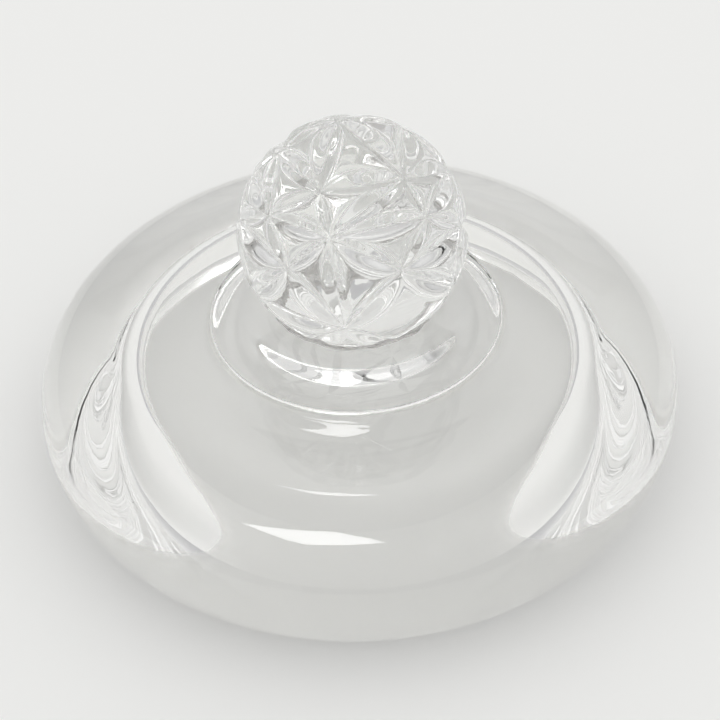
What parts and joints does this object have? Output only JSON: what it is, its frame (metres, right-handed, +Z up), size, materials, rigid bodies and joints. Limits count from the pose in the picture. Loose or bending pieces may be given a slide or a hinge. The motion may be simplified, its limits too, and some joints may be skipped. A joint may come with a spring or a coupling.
{
  "type": "glass flower frog",
  "caption": "Clear glass table piece: thick rolled rim disc, hollow underneath, with a low collar and a star-cut glass ball on top.",
  "frame": {"origin": "on the table under the ball, at the middle of the foot ring's plane", "axes": "+Z up along the axis of revolution, from the foot ring to the ball; the front view looks along +Y"},
  "size_m": [0.118, 0.118, 0.0625],
  "materials": {
    "clear_glass": "fire-polished clear glass with faint turning marks",
    "cut_glass": "polished clear glass with soft-edged star cuts",
    "clear_bond": "cured clear adhesive, slightly matt at its edge"
  },
  "bodies": {
    "root": {"base": "clear_glass", "lower_bond": "clear_bond", "collar": "clear_glass", "upper_bond": "clear_bond", "cut_ball": "cut_glass"}
  },
  "joints": []
}
